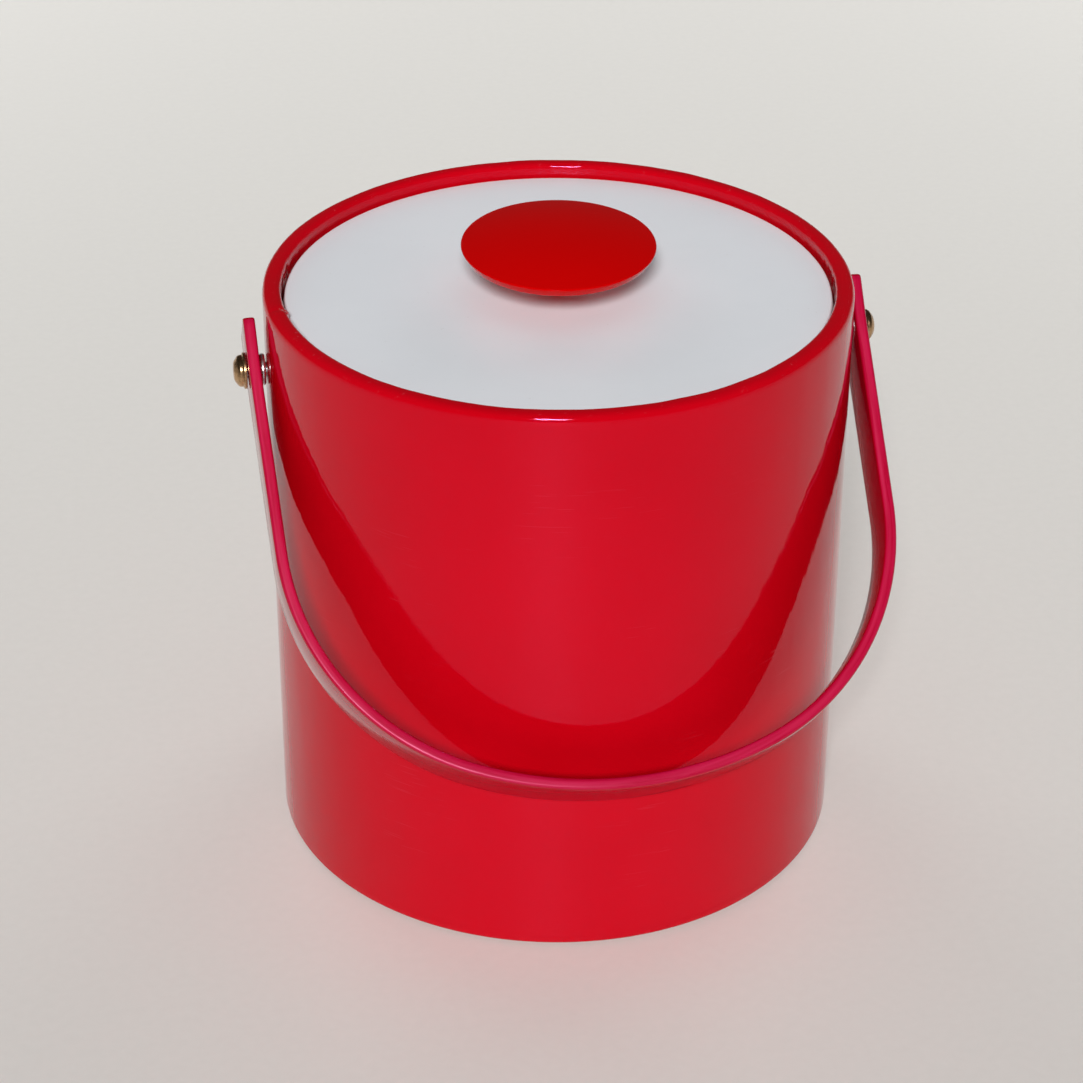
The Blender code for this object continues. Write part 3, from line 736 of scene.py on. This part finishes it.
def sweep_bail():
    """Sweep the section along the U: points, faces, and each point's place on the strip.

    A place is (along, across, through) in metres, then the same as shares of the strip's sizes.
    """
    stations = bail_centre_line()
    total = stations[-1][3]
    points = []
    places = []
    shares = []
    rings = []
    for across, drop, heading, distance in stations:
        end_distance = min(distance, total - distance)
        soft = smoothstep(0.0, 20.0 * MM, end_distance)
        ring = []
        for thick, wide in bail_section(end_distance):
            x = across + thick * math.cos(heading)
            down = drop - thick * math.sin(heading)
            wander = 0.10 * MM * noise.noise(Vector((distance * 14.0, wide * 40.0, thick * 200.0)))
            y = wide - soft * abs(wander) * math.copysign(1.0, wide)
            ring.append(len(points))
            points.append((x + BAIL_SKEW * max(down, 0.0), y, -down))
            places.append((distance, wide, thick))
            shares.append((distance / total, wide / (BAIL_WIDTH / 2.0), thick / (BAIL_THICKNESS / 2.0)))
        rings.append(ring)
    faces = [list(rings[0]), list(rings[-1])]
    for ring, next_ring in zip(rings, rings[1:]):
        for index in range(len(ring)):
            faces.append([ring[index - 1], ring[index], next_ring[index], next_ring[index - 1]])
    return points, faces, places, shares


def make_bail():
    """The swept strip, hung from the pivots and drilled."""
    points, faces, places, shares = sweep_bail()
    bail = add_mesh("bail_band", points, faces, math.radians(50.0))
    hang = Matrix.Translation((0.0, 0.0, PIVOT_HEIGHT)) @ Matrix.Rotation(-BAIL_HANG, 4, "X")
    bail.data.transform(hang)
    bail.data.materials.append(strap_acrylic())
    swept = kdtree.KDTree(len(points))
    for index, vertex in enumerate(bail.data.vertices):
        swept.insert(vertex.co, index)
    swept.balance()
    drill_pivots(bail)
    # Each point of the drilled mesh takes its place on the strip from the nearest swept point.
    nearest = [swept.find(vertex.co)[1] for vertex in bail.data.vertices]
    for name, values in (("strap", shares), ("strap_metres", places)):
        layer = bail.data.attributes.new(name, "FLOAT_VECTOR", "POINT")
        layer.data.foreach_set("vector", [number for index in nearest for number in values[index]])
    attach(bail, "bail")
    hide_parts("bail_strap")


# ---------------------------------------------------------------- lid

def make_lid_top(laminate):
    """The lid's satin top, with its eased edge."""
    low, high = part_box("lid_top")

    def shift(angle, x, z):
        """A sheet this thin is never dead flat: it dips by a few hundredths of a millimetre."""
        direction = Vector((math.cos(angle) * x, math.sin(angle) * x, 0.0))
        wave = 0.10 * MM * noise.noise(direction * 22.0)
        return x, z - smoothstep(0.0, 20.0 * MM, x) * (0.08 * MM + wave) * smoothstep(low.z, high.z, z)

    top = lathe("lid_sheet", divided(rounded([
        (LID_HOLE, high.z, 0.3 * MM),
        (high.x, high.z, 0.9 * MM),
        (high.x, low.z, 0.5 * MM),
        (LID_HOLE, low.z, 0.3 * MM),
    ]), 3.0 * MM), even_angles(300), shift=shift)
    top.data.materials.append(laminate)
    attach(top, "lid")
    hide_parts("lid_top")


def make_lid_pan(plastic):
    """The pan that closes the plug under the lid, with a shallow recess for the washer."""
    low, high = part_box("lid_pan")
    wall = 1.2 * MM
    recess = 0.6 * MM
    recess_radius = 24.0 * MM
    recess_slope = 2.0 * MM
    pan = lathe("plug_pan", divided(rounded([
        (high.x - wall, high.z, 0.3 * MM),
        (high.x, high.z, 0.3 * MM),
        (high.x, low.z, 4.0 * MM),
        (recess_radius + recess_slope, low.z, 1.5 * MM),
        (recess_radius, low.z + recess, 1.5 * MM),
        (LID_HOLE, low.z + recess, 0.2 * MM),
        (LID_HOLE, low.z + wall, 0.0),
        (high.x - wall, low.z + wall, 2.8 * MM),
    ]), 4.0 * MM), even_angles(180))
    pan.data.materials.append(plastic)
    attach(pan, "lid")
    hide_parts("lid_pan")


KNOB_EDGE_HEIGHT = 3.2 * MM
KNOB_UNDERCUT = 1.9 * MM            # how far the knob's side leans in towards its underside
KNOB_CROWN = 3.95 * MM              # rise of the domed top above its edge
KNOB_BORE = 3.6 * MM                # depth of the screw's hole
KNOB_TILT = math.radians(2.2)       # it sits a little low at the front
KNOB_SEAT_GAP = 0.5 * MM            # between stem and knob, with room for the tilt
DOME_STEPS = 30


def make_knob(plastic):
    """The low domed knob, with its crisp edge."""
    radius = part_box("knob_disc")[1].x
    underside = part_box("knob_stem")[1].z + KNOB_SEAT_GAP
    edge_top = underside + KNOB_EDGE_HEIGHT
    apex = edge_top + KNOB_CROWN
    sphere = (radius ** 2 + KNOB_CROWN ** 2) / (2.0 * KNOB_CROWN)
    seat_radius = 9.0 * MM
    dome = []
    for step in range(DOME_STEPS):
        x = radius * step / DOME_STEPS
        dome.append((x, apex - sphere + math.sqrt(sphere ** 2 - x ** 2), 0.0))
    disc = lathe("knob_plate", divided(rounded(dome + [
        (radius, edge_top, 0.45 * MM),
        (radius - KNOB_UNDERCUT, underside, 0.7 * MM),
        (seat_radius, underside, 0.0),
        (LID_HOLE, underside, 0.2 * MM),
        (LID_HOLE, underside + KNOB_BORE, 0.0),
        (0.0, underside + KNOB_BORE, 0.0),
    ], closed=False), 2.0 * MM, closed=False), even_angles(240), closed=False)
    seat = Matrix.Translation((0.0, 0.0, underside))
    disc.data.transform(seat @ Matrix.Rotation(KNOB_TILT, 4, "X") @ seat.inverted())
    disc.data.materials.append(plastic)
    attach(disc, "lid")
    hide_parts("knob_disc")


def make_stem(plastic):
    """The waisted post that holds the knob off the lid."""
    low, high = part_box("knob_stem")
    radius = high.x
    waist = radius - 0.7 * MM
    end = 1.6 * MM
    taper = 3.2 * MM
    stem = lathe("knob_post", divided(rounded([
        (LID_HOLE, high.z, 0.2 * MM),
        (radius, high.z, 0.4 * MM),
        (radius, high.z - end, 0.8 * MM),
        (waist, high.z - taper, 2.0 * MM),
        (waist, low.z + taper, 2.0 * MM),
        (radius, low.z + end, 0.8 * MM),
        (radius, low.z, 0.4 * MM),
        (LID_HOLE, low.z, 0.2 * MM),
    ]), 1.0 * MM), even_angles(64))
    stem.data.materials.append(plastic)
    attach(stem, "lid")
    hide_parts("knob_stem")


def make_lid_screw(steel):
    """The screw under the lid, with a cross recess in its head."""
    low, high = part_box("knob_screw")
    head_radius = high.x
    head_height = 2.6 * MM
    shank = 2.0 * MM
    screw = lathe("knob_bolt", divided(rounded([
        (0.0, high.z, 0.0),
        (shank, high.z, 0.3 * MM),
        (shank, low.z + head_height, 0.0),
        (head_radius, low.z + head_height, 0.2 * MM),
        (head_radius, low.z, 1.5 * MM),
        (0.0, low.z, 0.0),
    ], closed=False), 1.0 * MM, closed=False), even_angles(48), closed=False)
    recess = bmesh.new()
    slot_size = Matrix.Diagonal((4.6 * MM, 0.9 * MM, 2.8 * MM, 1.0))
    for turn in (0.0, math.pi / 2.0):
        place = Matrix.Translation((0.0, 0.0, low.z)) @ Matrix.Rotation(turn, 4, "Z") @ slot_size
        bmesh.ops.create_cube(recess, size=1.0, matrix=place)
    cut_away(screw, recess, math.radians(35.0), use_self=True)
    screw.data.materials.clear()
    screw.data.materials.append(steel)
    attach(screw, "lid")
    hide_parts("knob_screw")


def dress_cad_nodes(materials):
    """Give the pieces whose CAD shape is right their finish."""
    for material, names in materials:
        for name in names:
            node = frame["nodes"][name]
            node.data.materials.clear()
            node.data.materials.append(material)


# ---------------------------------------------------------------- studio

def camera_axes():
    """Level unit vectors from the bucket towards the camera and to the camera's right."""
    towards = Vector((-math.sin(CAMERA_AZIMUTH), -math.cos(CAMERA_AZIMUTH), 0.0))
    right = Vector((math.cos(CAMERA_AZIMUTH), -math.sin(CAMERA_AZIMUTH), 0.0))
    return towards, right


def studio_place(towards_camera, to_right, height):
    """The point this far from the bucket's axis towards the camera and to its right."""
    towards, right = camera_axes()
    return towards * towards_camera + right * to_right + Vector((0.0, 0.0, height))


def make_camera():
    """The camera, aimed by its pitch, yaw and roll."""
    data = bpy.data.cameras.new("camera")
    data.sensor_width = CAMERA_SENSOR
    data.lens = CAMERA_LENS
    data.clip_start = 0.05
    data.clip_end = 50.0
    camera = bpy.data.objects.new("camera", data)
    bpy.context.scene.collection.objects.link(camera)
    towards, right = camera_axes()
    level = -towards * math.cos(CAMERA_YAW) + right * math.sin(CAMERA_YAW)
    forward = level * math.cos(CAMERA_PITCH) - Vector((0.0, 0.0, math.sin(CAMERA_PITCH)))
    side = forward.cross(Vector((0.0, 0.0, 1.0))).normalized()
    up = side.cross(forward)
    rolled_side = side * math.cos(CAMERA_ROLL) + up * math.sin(CAMERA_ROLL)
    rolled_up = up * math.cos(CAMERA_ROLL) - side * math.sin(CAMERA_ROLL)
    turn = Matrix((rolled_side, rolled_up, -forward)).transposed().to_4x4()
    camera.matrix_world = Matrix.Translation(studio_place(CAMERA_DISTANCE, 0.0, CAMERA_HEIGHT)) @ turn
    bpy.context.scene.camera = camera


def add_light(name, kind, settings):
    """Make a light with these settings on its data."""
    data = bpy.data.lights.new(name, kind)
    for key, value in settings.items():
        setattr(data, key, value)
    light = bpy.data.objects.new(name, data)
    bpy.context.scene.collection.objects.link(light)
    return light


def add_fill(name, place, power, width, height):
    """A large weak softbox aimed at the bucket, which doesn't show in the gloss."""
    middle = Vector((0.0, 0.0, 0.11))
    light = add_light(name, "AREA", {"shape": "RECTANGLE", "size": width, "size_y": height, "energy": power})
    light.location = place
    light.rotation_euler = (middle - place).to_track_quat("-Z", "Y").to_euler()
    light.visible_camera = False
    light.visible_glossy = False


def add_sun(name, azimuth, elevation, strength, spread):
    """A far soft light. Its azimuth is measured from the camera's side towards the left."""
    light = add_light(name, "SUN", {"energy": strength, "angle": spread})
    towards, right = camera_axes()
    level = towards * math.cos(azimuth) - right * math.sin(azimuth)
    place = level * math.cos(elevation) + Vector((0.0, 0.0, math.sin(elevation)))
    light.location = place * 2.0
    light.rotation_euler = place.to_track_quat("Z", "Y").to_euler()


def make_world():
    """A dim surround that is pale at the horizon, where the floor runs out of sight."""
    world = bpy.data.worlds.new("studio")
    world.use_nodes = True
    nodes = world.node_tree.nodes
    links = world.node_tree.links
    direction = nodes.new("ShaderNodeTexCoord").outputs["Generated"]
    split = nodes.new("ShaderNodeSeparateXYZ")
    links.new(direction, split.inputs[0])
    fade = nodes.new("ShaderNodeMapRange")
    fade.interpolation_type = "SMOOTHSTEP"
    links.new(split.outputs["Z"], fade.inputs["Value"])
    for name, value in (("From Min", 0.02), ("From Max", 0.05), ("To Min", 0.42), ("To Max", 0.045)):
        fade.inputs[name].default_value = value
    links.new(fade.outputs["Result"], nodes["Background"].inputs["Strength"])
    nodes["Background"].inputs["Color"].default_value = (1.0, 0.97, 0.94, 1.0)
    bpy.context.scene.world = world


def make_floor():
    """The plain floor under the bucket."""
    half_width = 30.0
    corners = [(x * half_width, y * half_width, 0.0) for x, y in ((-1, -1), (1, -1), (1, 1), (-1, 1))]
    floor = add_mesh("floor", corners, [(0, 1, 2, 3)])
    floor.location.z = cad_box[0].z
    floor.data.materials.append(pale_floor())


def make_studio():
    """Soft light from the camera's side, weak fills behind and above, and the floor."""
    add_sun("key", azimuth=math.radians(2.5), elevation=math.radians(34.5), strength=3.08,
            spread=math.radians(13.0))
    for side, name in ((-1.0, "left_fill"), (1.0, "right_fill")):
        add_fill(name, studio_place(-1.25, side * 0.85, 0.6), power=5.0, width=0.9, height=0.7)
    add_fill("overhead", studio_place(0.0, 0.0, 1.8), power=2.6, width=1.6, height=1.6)
    make_world()
    bpy.context.scene.view_settings.view_transform = "Standard"
    make_floor()


make_camera()
make_vinyl()
white_plastic = moulded_plastic()
red_plastic = knob_plastic()
brass = metal("aged_brass", clean=(0.58, 0.36, 0.19), tarnished=(0.32, 0.19, 0.095),
              roughness_range=(0.18, 0.34), patch_scale=260.0)
chrome = metal("chrome_plate", clean=(0.93, 0.94, 0.96), tarnished=(0.82, 0.83, 0.86),
               roughness_range=(0.24, 0.36), patch_scale=300.0)
steel = metal("zinc_plate", clean=(0.52, 0.53, 0.55), tarnished=(0.36, 0.36, 0.35),
              roughness_range=(0.25, 0.42), patch_scale=220.0)
make_liner(white_plastic)
make_pad(felt())
for suffix, side in (("left", -1), ("right", 1)):
    make_cap(suffix, side, brass)
    make_spacer(suffix, side, chrome)
make_bail()
make_lid_top(satin_laminate())
make_lid_pan(white_plastic)
make_knob(red_plastic)
make_stem(red_plastic)
make_lid_screw(steel)
dress_cad_nodes([
    (fibreboard(), ["shell_tube", "base_board"]),
    (bead_foam(), ["foam_disc", "foam_sleeve", "lid_foam"]),
    (steel, ["pivot_screw_left", "pivot_screw_right", "backing_washer_left", "backing_washer_right",
             "knob_washer"]),
])
make_studio()
